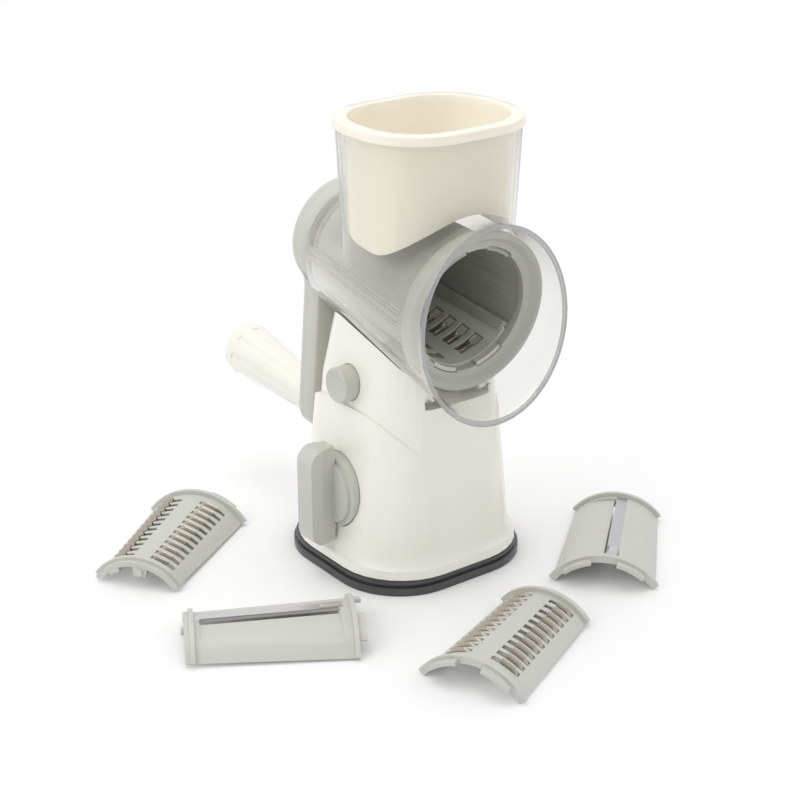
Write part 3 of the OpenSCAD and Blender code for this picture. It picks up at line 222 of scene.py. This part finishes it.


# SAN, moulded clear and polished: a thin wall of it lets most light straight through, with a faint
# milky veil that thickens where the wall is seen edge on, a painted grey line of shade where the eye
# looks along it, for the dark surroundings that a real wall bends into view, and sharp bright
# reflections.
# A veil of 1 is the end of a wall.
def clear_san(name, body, veil_face, veil_edge):
    made, tree, place = new_material(name)
    flow = add(tree, "ShaderNodeTexNoise", {"Scale": 16.0, "Detail": 1.0}, {"Vector": place})
    ripple = add(tree, "ShaderNodeBump", {"Strength": 0.06, "Distance": 0.0006},
                 {"Height": flow.outputs["Fac"]})
    slant = add(tree, "ShaderNodeLayerWeight", {"Blend": 0.5}, {"Normal": ripple.outputs["Normal"]})
    sharp = add(tree, "ShaderNodeMath", {1: 2.2}, {0: slant.outputs["Facing"]}, operation="POWER")
    veil = add(tree, "ShaderNodeMapRange", {"To Min": veil_face, "To Max": veil_edge},
               {"Value": sharp.outputs["Value"]})
    milk = add(tree, "ShaderNodeBsdfPrincipled",
               {"Base Color": linear(body), "Roughness": 0.12, "IOR": 1.5})
    # Painted shade: the see-through colour greys towards #6f6f69 where the eye looks along the wall, for
    # the dark surroundings that a real wall bends into view.
    depth = add(tree, "ShaderNodeMapRange", {"From Min": 0.74, "From Max": 0.99, "To Max": 0.8},
                {"Value": slant.outputs["Facing"]}, interpolation_type="SMOOTHSTEP")
    painted_edge_grey = add(tree, "ShaderNodeMix", {"A": linear("#fdfdfc"), "B": linear("#6f6f69")},
                {"Factor": depth.outputs["Result"]}, data_type="RGBA")
    through = add(tree, "ShaderNodeBsdfTransparent", links={"Color": painted_edge_grey.outputs["Result"]})
    ray = add(tree, "ShaderNodeLightPath")
    seen = add(tree, "ShaderNodeMath", {0: 1.0}, {1: ray.outputs["Is Shadow Ray"]},
               operation="SUBTRACT")
    cover = add(tree, "ShaderNodeMath", links={0: veil.outputs["Result"], 1: seen.outputs["Value"]},
                operation="MULTIPLY")
    hazy = add(tree, "ShaderNodeMixShader", links={
        "Fac": cover.outputs["Value"], 1: through.outputs["BSDF"], 2: milk.outputs["BSDF"]})
    mirror = add(tree, "ShaderNodeBsdfGlossy", {"Color": (1, 1, 1, 1), "Roughness": 0.04},
                 {"Normal": ripple.outputs["Normal"]})
    grazing = add(tree, "ShaderNodeMath", {1: 5.0}, {0: slant.outputs["Facing"]}, operation="POWER")
    bounce = add(tree, "ShaderNodeMapRange", {"To Min": 0.04, "To Max": 0.9},
                 {"Value": grazing.outputs["Value"]})
    shine = add(tree, "ShaderNodeMath", links={0: bounce.outputs["Result"], 1: seen.outputs["Value"]},
                operation="MULTIPLY")
    mix = add(tree, "ShaderNodeMixShader", links={
        "Fac": shine.outputs["Value"], 1: hazy.outputs["Shader"], 2: mirror.outputs["BSDF"]})
    end_material(tree, mix.outputs["Shader"])
    return made


# Natural rubber, pressed: near black, dull, with a dusty grey bloom in patches.
def pressed_rubber():
    made, tree, place = new_material("rubber_pressed")
    dust = add(tree, "ShaderNodeTexNoise", {"Scale": 120.0, "Detail": 4.0}, {"Vector": place})
    fine = add(tree, "ShaderNodeTexNoise", {"Scale": 1400.0, "Detail": 2.0}, {"Vector": place})
    tint = add(tree, "ShaderNodeMix", {"A": linear("#202123"), "B": linear("#343537")},
               {"Factor": dust.outputs["Fac"]}, data_type="RGBA")
    skin = add(tree, "ShaderNodeBump", {"Strength": 0.25, "Distance": 0.0001},
               {"Height": fine.outputs["Fac"]})
    shell = add(tree, "ShaderNodeBsdfPrincipled", {"Roughness": 0.34, "IOR": 1.8},
                {"Base Color": tint.outputs["Result"], "Normal": skin.outputs["Normal"]})
    end_material(tree, shell.outputs["BSDF"])
    return made


# Stainless steel sheet, rolled and punched: bright, with rolling lines about 0.1 mm apart along the
# strip, drawn at about 0.3 mm, which stretch its reflections. The lines run the way that it lies.
def rolled_stainless(name, heading, colour, rough):
    made, tree, place = new_material(name)
    along = add(tree, "ShaderNodeMapping", {"Rotation": (0, 0, -radians(heading))}, {"Vector": place})
    drawn = add(tree, "ShaderNodeMapping", {"Scale": (3400.0, 60.0, 3400.0)},
                {"Vector": along.outputs["Vector"]})
    lines = add(tree, "ShaderNodeTexNoise", {"Scale": 1.0, "Detail": 2.0},
                {"Vector": drawn.outputs["Vector"]})
    haze = add(tree, "ShaderNodeMapRange", {"To Min": rough - 0.05, "To Max": rough + 0.08},
               {"Value": lines.outputs["Fac"]})
    skin = add(tree, "ShaderNodeBump", {"Strength": 0.05, "Distance": 0.00004},
               {"Height": lines.outputs["Fac"]})
    shell = add(tree, "ShaderNodeBsdfPrincipled", {"Base Color": linear(colour), "Metallic": 1.0},
                {"Roughness": haze.outputs["Result"], "Normal": skin.outputs["Normal"]})
    end_material(tree, shell.outputs["BSDF"])
    return made


# Mild steel, zinc plated: the screws, clip, spring and axle; a cool, slightly uneven grey shine.
def zinc_plated_steel():
    made, tree, place = new_material("steel_zinc_plated")
    patch = add(tree, "ShaderNodeTexNoise", {"Scale": 700.0, "Detail": 3.0}, {"Vector": place})
    haze = add(tree, "ShaderNodeMapRange", {"To Min": 0.25, "To Max": 0.42},
               {"Value": patch.outputs["Fac"]})
    shell = add(tree, "ShaderNodeBsdfPrincipled", {"Base Color": linear("#b4b5b6"), "Metallic": 1.0},
                {"Roughness": haze.outputs["Result"]})
    end_material(tree, shell.outputs["BSDF"])
    return made


# Pieces

def pick_nothing():
    """Leaves edit mode with nothing selected."""
    if bpy.context.object and bpy.context.object.mode != "OBJECT":
        bpy.ops.object.mode_set(mode="OBJECT")
    bpy.ops.object.select_all(action="DESELECT")


def pick(piece):
    """Makes the piece the only one selected, and the active one."""
    pick_nothing()
    piece.select_set(True)
    bpy.context.view_layer.objects.active = piece


def dress(piece, material):
    piece.data.materials.clear()
    piece.data.materials.append(material)


def redress(piece, material, chosen):
    """Gives another material to the faces that the test chooses by their normal and corners."""
    piece.data.materials.append(material)
    last = len(piece.data.materials) - 1
    places = [corner.co for corner in piece.data.vertices]
    for face in piece.data.polygons:
        if chosen(face.normal, [places[i] for i in face.vertices]):
            face.material_index = last


def slot_cutter():
    """Boxes that open the slots of the insert in the drum to their full width."""
    pick_nothing()
    boxes = []
    for side in (-1, 1):
        out = Matrix.Rotation(side * radians(SLOT_TURN), 3, AXIS) @ -UP
        turn = Matrix((out, AXIS.cross(out), AXIS)).transposed().to_euler()
        for k in range(SLOTS):
            along = SLOT_CENTRE + (k - (SLOTS - 1) / 2) * SLOT_PITCH
            bpy.ops.mesh.primitive_cube_add(
                size=1, location=AXIS_POINT + AXIS * along + out * SLOT_OUT, rotation=turn,
                scale=(0.012, SLOT_LENGTH, SLOT_WIDTH))
            boxes.append(bpy.context.object)
    for box in boxes:
        box.select_set(True)
    bpy.ops.object.join()
    return bpy.context.object


def cut(piece, cutter):
    """Takes the cutter's shape out of the piece."""
    pick(piece)
    gone = piece.modifiers.new("cut", "BOOLEAN")
    gone.object = cutter
    gone.operation = "DIFFERENCE"
    bpy.ops.object.modifier_apply(modifier=gone.name)
    pick(cutter)
    bpy.ops.object.delete()
    pick(piece)


def eased(node, edge, angle=35, segments=2, material=None, cutter=None):
    """A copy of a node with its sharp edges rounded, which stands for the node."""
    piece = bpy.data.objects.new(node + "_eased", NODES[node].data.copy())
    bpy.context.scene.collection.objects.link(piece)
    pick(piece)
    bpy.ops.mesh.customdata_custom_splitnormals_clear()
    bpy.ops.object.mode_set(mode="EDIT")
    bpy.ops.mesh.select_all(action="SELECT")
    bpy.ops.mesh.remove_doubles(threshold=MERGE)
    bpy.ops.mesh.dissolve_limited(angle_limit=FLAT)
    bpy.ops.object.mode_set(mode="OBJECT")
    if cutter:
        cut(piece, cutter)
    soft = piece.modifiers.new("edges", "BEVEL")
    soft.limit_method = "ANGLE"
    soft.angle_limit = radians(angle)
    soft.width = edge
    soft.segments = segments
    soft.use_clamp_overlap = True
    bpy.ops.object.modifier_apply(modifier=soft.name)
    bpy.ops.object.shade_smooth_by_angle(angle=radians(angle))
    dress(piece, material)
    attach(piece, BODY_OF[node])
    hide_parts(node)
    return piece


class ShredderFinishes(bpy.types.PropertyGroup):
    """Colours and roughness of the tool's materials."""
    ivory: StringProperty(name="Ivory", description="sRGB hex colour of the body", default="#f1efe7")
    cream: StringProperty(name="Cream", description="sRGB hex colour of the pusher", default="#f9f3e5")
    grey: StringProperty(name="Grey", description="sRGB hex colour of the grey mouldings",
                         default="#c6c7bf")
    gloss: FloatProperty(name="Ivory roughness", description="Roughness of the polished mouldings",
                         default=0.17, min=0.0, max=1.0)
    satin: FloatProperty(name="Grey roughness", description="Roughness of the grey mouldings",
                         default=0.42, min=0.0, max=1.0)


class ShredderSizes(bpy.types.PropertyGroup):
    """Edge radii of the mouldings."""
    body_edge: FloatProperty(name="Body edge", description="Radius on the body's edges",
                             default=0.0009, unit="LENGTH")
    small_edge: FloatProperty(name="Small edge", description="Radius on the small mouldings' edges",
                              default=0.00035, unit="LENGTH")
    seam_edge: FloatProperty(name="Seam edge", description="Radius where the crank's halves meet",
                             default=0.00065, unit="LENGTH")


class ShredderStage(bpy.types.PropertyGroup):
    """Camera and studio."""
    camera: FloatVectorProperty(name="Camera", description="Place of the camera",
                                default=(-0.5987, -0.7943, 0.5145), subtype="TRANSLATION")
    target: FloatVectorProperty(name="Target", description="Point in the middle of the picture",
                                default=(-0.0027, 0.0020, 0.0940), subtype="TRANSLATION")
    lens: FloatProperty(name="Lens", description="Focal length in millimetres on a 36 mm picture",
                        default=82.6, min=1.0)
    key_power: FloatProperty(name="Key light", description="Power of the main softbox in watts",
                             default=5.5, min=0.0)
    dim: FloatProperty(name="Dim side", description="Strength of the world's light from the front",
                       default=0.66, min=0.0)
    bright: FloatProperty(name="Bright side", description="Strength of the world's light from behind",
                          default=0.86, min=0.0)


_finish = {}


def finish(name):
    """A material, made the first time it is asked for."""
    look = bpy.context.scene.shredder_finishes
    makers = {
        "ivory": lambda: polished_abs("abs_polished_ivory", look.ivory, "#e9e6da", look.gloss),
        "cream": lambda: polished_abs("abs_polished_cream", look.cream, "#ebe3d0", look.gloss),
        "grey": lambda: satin_abs("abs_satin_grey", look.grey, "#c0c1b9", look.satin, 1500.0, 0.00002),
        # Painted shade: the drum and its front ring get darker greys than the other grey mouldings, for
        # the shade inside the housing.
        "drum": lambda: satin_abs("abs_satin_drum_painted_shade", "#a2a39b", "#94958d", look.satin, 1500.0, 0.00002),
        "ring": lambda: satin_abs("abs_satin_ring_painted_shade", "#b2b3ab", "#a8a9a1", look.satin, 1500.0, 0.00002),
        "stippled": lambda: satin_abs("abs_stippled_grey", look.grey, "#b2b3ab", look.satin + 0.1,
                                      1400.0, 0.00025),
        # Painted shadow: a dark grey for the faces along the crank halves' seam, for the shadow in the
        # groove where they meet.
        "seam": lambda: satin_abs("abs_satin_seam_painted_shadow", "#85867f", "#7b7c76", look.satin, 1500.0, 0.00002),
        "clear": lambda: clear_san("san_moulded_clear", "#e8e6de", 0.03, 0.5),
        # Painted shade: the rim's faces get a dense grey veil, for the grey line that light bending
        # through the rim's thickness gives.
        "clear_rim": lambda: clear_san("san_moulded_clear_rim_painted_shade", "#a6a5a6", 0.78, 0.92),
        # Painted highlight: the sides of the barrel's grip ribs get a denser whitish veil, for the
        # highlight lines along them.
        "clear_edge": lambda: clear_san("san_moulded_clear_rib_painted_highlight", "#dddcd7", 0.6, 0.8),
        # Painted shade: the clear foot's front end gets a dense warm grey veil, for the shade seen
        # through the end of the wall.
        "clear_foot": lambda: clear_san("san_moulded_clear_foot_painted_shade", "#a9a699", 0.65, 0.9),
        "rubber": pressed_rubber,
        "stainless": lambda: rolled_stainless("stainless_rolled", 0, "#bdb4a8", 0.27),
        "thick_strip": lambda: rolled_stainless("stainless_rolled_thick_strip", THICK_HEADING,
                                                "#dcdbdc", 0.3),
        "thin_strip": lambda: rolled_stainless("stainless_rolled_thin_strip", THIN_HEADING,
                                               "#cdcdd1", 0.3),
        "zinc": zinc_plated_steel,
    }
    if name not in _finish:
        _finish[name] = makers[name]()
    return _finish[name]


class SHREDDER_OT_body(bpy.types.Operator):
    """Body, foot ring, base plate and what works the suction cup"""
    bl_idname = "shredder.body"
    bl_label = "Body and foot"

    def execute(self, context):
        sizes = context.scene.shredder_sizes
        eased("body_shell", sizes.body_edge, material=finish("ivory"))
        eased("foot_ring", sizes.body_edge, material=finish("rubber"))
        eased("suction_cup", sizes.small_edge, material=finish("rubber"))
        for node in ("base_plate", "pull_rod"):
            dress(NODES[node], finish("grey"))
        for node in ("base_screws", "lever_clip", "button_spring"):
            dress(NODES[node], finish("zinc"))
        return {"FINISHED"}


class SHREDDER_OT_controls(bpy.types.Operator):
    """Suction lever and release button"""
    bl_idname = "shredder.controls"
    bl_label = "Lever and button"

    def execute(self, context):
        eased("suction_lever", LEVER_EDGE, segments=3, material=finish("grey"))
        button = eased("release_button", BUTTON_EDGE, material=finish("grey"))
        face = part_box("release_button")[0][0] + STIPPLE_SKIN
        redress(button, finish("stippled"), lambda way, corners: way.x < -STIPPLE_LEAN
                and max(c.x for c in corners) < face)
        return {"FINISHED"}


def stands_out(way, corners):
    """Whether a face of the barrel's sides faces along its round, as the sides of its ribs do."""
    off = sum(corners, Vector()) / len(corners) - AXIS_POINT
    along = off.dot(AXIS)
    out = off - AXIS * along
    return (RIB_ENDS[0] < along < RIB_ENDS[1] and RIB_BAND[0] < off.dot(UP) < RIB_BAND[1]
            and out.length > RIB_OUT and abs(way.dot(out.normalized())) < RIB_LEAN)


class SHREDDER_OT_housing(bpy.types.Operator):
    """Clear housing, its bush, and the pusher"""
    bl_idname = "shredder.housing"
    bl_label = "Housing and pusher"

    def execute(self, context):
        sizes = context.scene.shredder_sizes
        clear = eased("housing", HOUSING_EDGE, angle=40, material=finish("clear"))
        # Painted shade: a dense grey veil on the rim's faces.
        redress(clear, finish("clear_rim"), lambda way, corners: all(
            (c - RIM_POINT).dot(RIM_WAY) > 0 for c in corners))
        # Painted shade: a dense grey veil on the clear foot's front end.
        redress(clear, finish("clear_foot"), lambda way, corners: all(
            abs(c.x) < FOOT_HALF and (c - AXIS_POINT).dot(UP) < -FOOT_UNDER
            and FOOT_END[0] < (c - AXIS_POINT).dot(AXIS) < FOOT_END[1] for c in corners))
        # Painted highlight: a whitish veil on the sides of the grip ribs.
        redress(clear, finish("clear_edge"), stands_out)
        eased("pusher", PUSHER_EDGE, material=finish("cream"))
        eased("rear_bush", sizes.small_edge, material=finish("grey"))
        return {"FINISHED"}


class SHREDDER_OT_drum(bpy.types.Operator):
    """Drum cage and front ring"""
    bl_idname = "shredder.drum"
    bl_label = "Drum"

    def execute(self, context):
        sizes = context.scene.shredder_sizes
        # Their greys are darkened with painted shade, for the shade inside the housing.
        eased("drum_cage", sizes.small_edge, material=finish("drum"))
        eased("drum_ring", sizes.small_edge, material=finish("ring"))
        return {"FINISHED"}


class SHREDDER_OT_crank(bpy.types.Operator):
    """Crank, grip and their axles"""
    bl_idname = "shredder.crank"
    bl_label = "Crank and grip"

    def execute(self, context):
        sizes = context.scene.shredder_sizes
        for node in ("crank_front_shell", "crank_back_shell"):
            half = eased(node, sizes.seam_edge, material=finish("grey"))
            # Painted shadow: the faces at the seam get the dark grey that stands for the shadow in its
            # groove.
            redress(half, finish("seam"), lambda way, corners: all(
                abs((c - AXIS_POINT).dot(AXIS) - SEAM) < sizes.seam_edge * 1.05 for c in corners))
        eased("grip", GRIP_EDGE, segments=3, material=finish("ivory"))
        eased("grip_cap", CAP_EDGE, material=finish("ivory"))
        dress(NODES["drive_shaft"], finish("grey"))
        for node in ("crank_screws", "grip_axle"):
            dress(NODES[node], finish("zinc"))
        return {"FINISHED"}


class SHREDDER_OT_inserts(bpy.types.Operator):
    """Frames and blades of the five cutting inserts"""
    bl_idname = "shredder.inserts"
    bl_label = "Inserts"

    def execute(self, context):
        for kind, steel in (("drum_insert", "stainless"), ("fine", "stainless"),
                            ("coarse", "stainless"), ("thick", "thick_strip"), ("thin", "thin_strip")):
            eased(kind + "_frame", INSERT_EDGE, material=finish("grey"),
                  cutter=slot_cutter() if kind == "drum_insert" else None)
            dress(NODES[kind + "_blade"], finish(steel))
        return {"FINISHED"}


class SHREDDER_OT_stage(bpy.types.Operator):
    """Floor, world, softboxes and camera"""
    bl_idname = "shredder.stage"
    bl_label = "Studio"

    def execute(self, context):
        stage = context.scene.shredder_stage
        scene = context.scene
        # Floor: matt white paper that the camera sees fade to pure white away from the tool
        pick_nothing()
        bpy.ops.mesh.primitive_circle_add(vertices=96, radius=FLOOR_RADIUS, fill_type="NGON",
                                          location=(0, 0, 0))
        floor = context.object
        floor.name = "studio_floor"
        made, tree, place = new_material("paper_matt_white")
        paper = add(tree, "ShaderNodeBsdfDiffuse", {"Color": linear("#f4f4f4")})
        away = add(tree, "ShaderNodeVectorMath", links={0: place}, operation="LENGTH")
        fade = add(tree, "ShaderNodeMapRange",
                   {"From Min": FADE[0], "From Max": FADE[1], "To Min": 0.0, "To Max": 1.0},
                   {"Value": away.outputs["Value"]}, interpolation_type="SMOOTHSTEP")
        ray = add(tree, "ShaderNodeLightPath")
        share = add(tree, "ShaderNodeMath", links={
            0: fade.outputs["Result"], 1: ray.outputs["Is Camera Ray"]}, operation="MULTIPLY")
        glow = add(tree, "ShaderNodeEmission", {"Strength": 1.0})
        mix = add(tree, "ShaderNodeMixShader", links={
            "Fac": share.outputs["Value"], 1: paper.outputs["BSDF"], 2: glow.outputs["Emission"]})
        end_material(tree, mix.outputs["Shader"])
        dress(floor, made)

        # World: pure white where the camera or a clear wall sees it. As a light it is bright at the
        # top, at the lever's side and behind, and dim in front of the mouth, where the camera stands.
        world = bpy.data.worlds.new("studio")
        scene.world = world
        world.use_nodes = True
        tree = world.node_tree
        tree.nodes.clear()
        way = add(tree, "ShaderNodeTexCoord").outputs["Generated"]
        ray = add(tree, "ShaderNodeLightPath")
        bright = add(tree, "ShaderNodeVectorMath", {1: LIGHT_WAY}, {0: way},
                     operation="DOT_PRODUCT")
        level = add(tree, "ShaderNodeMapRange",
                    {"From Min": LIGHT_SPAN[0], "From Max": LIGHT_SPAN[1],
                     "To Min": stage.dim, "To Max": stage.bright},
                    {"Value": bright.outputs["Value"]})
        strength = add(tree, "ShaderNodeMix", {"B": 1.0}, {
            "Factor": ray.outputs["Is Camera Ray"], "A": level.outputs["Result"]},
            data_type="FLOAT")
        sky = add(tree, "ShaderNodeBackground", {"Color": (1, 1, 1, 1)},
                  {"Strength": strength.outputs["Result"]})
        add(tree, "ShaderNodeOutputWorld", links={"Surface": sky.outputs["Background"]})

        # The main softbox is on the lever's side, a weak one at the other side, one overhead
        for name, spot, size, share in SOFTBOXES:
            lamp = bpy.data.lights.new("softbox_" + name, "AREA")
            lamp.energy = stage.key_power * share
            lamp.shape = "SQUARE"
            lamp.size = size
            box = bpy.data.objects.new(lamp.name, lamp)
            scene.collection.objects.link(box)
            box.location = spot
            aim = LIT_POINT - box.location
            box.rotation_euler = aim.to_track_quat("-Z", "Y").to_euler()

        camera = bpy.data.cameras.new("camera")
        camera.lens = stage.lens
        camera.sensor_width = 36.0
        view = bpy.data.objects.new("camera", camera)
        scene.collection.objects.link(view)
        view.location = stage.camera
        aim = Vector(stage.target) - view.location
        view.rotation_euler = aim.to_track_quat("-Z", "Y").to_euler()
        scene.camera = view
        scene.view_settings.view_transform = "Standard"
        return {"FINISHED"}


OPERATORS = (SHREDDER_OT_body, SHREDDER_OT_controls, SHREDDER_OT_housing, SHREDDER_OT_drum,
             SHREDDER_OT_crank, SHREDDER_OT_inserts, SHREDDER_OT_stage)
GROUPS = (("shredder_finishes", ShredderFinishes), ("shredder_sizes", ShredderSizes),
          ("shredder_stage", ShredderStage))


class SHREDDER_PT_panel(bpy.types.Panel):
    """Lists the pieces and the values that shape them"""
    bl_idname = "SHREDDER_PT_panel"
    bl_label = "Drum shredder"
    bl_space_type = "VIEW_3D"
    bl_region_type = "UI"
    bl_category = "Shredder"

    def draw(self, context):
        for name, group in GROUPS:
            box = self.layout.box()
            for key in group.__annotations__:
                box.prop(getattr(context.scene, name), key)
        for kind in OPERATORS:
            self.layout.operator(kind.bl_idname)


def register():
    for _, group in GROUPS:
        bpy.utils.register_class(group)
    for kind in OPERATORS:
        bpy.utils.register_class(kind)
    bpy.utils.register_class(SHREDDER_PT_panel)
    for name, group in GROUPS:
        setattr(bpy.types.Scene, name, PointerProperty(type=group))


def unregister():
    for name, _ in GROUPS:
        delattr(bpy.types.Scene, name)
    bpy.utils.unregister_class(SHREDDER_PT_panel)
    for kind in reversed(OPERATORS):
        bpy.utils.unregister_class(kind)
    for _, group in reversed(GROUPS):
        bpy.utils.unregister_class(group)


def main():
    register()
    for kind in OPERATORS:
        group, name = kind.bl_idname.split(".")
        getattr(getattr(bpy.ops, group), name)()


if __name__ == "__main__":
    main()
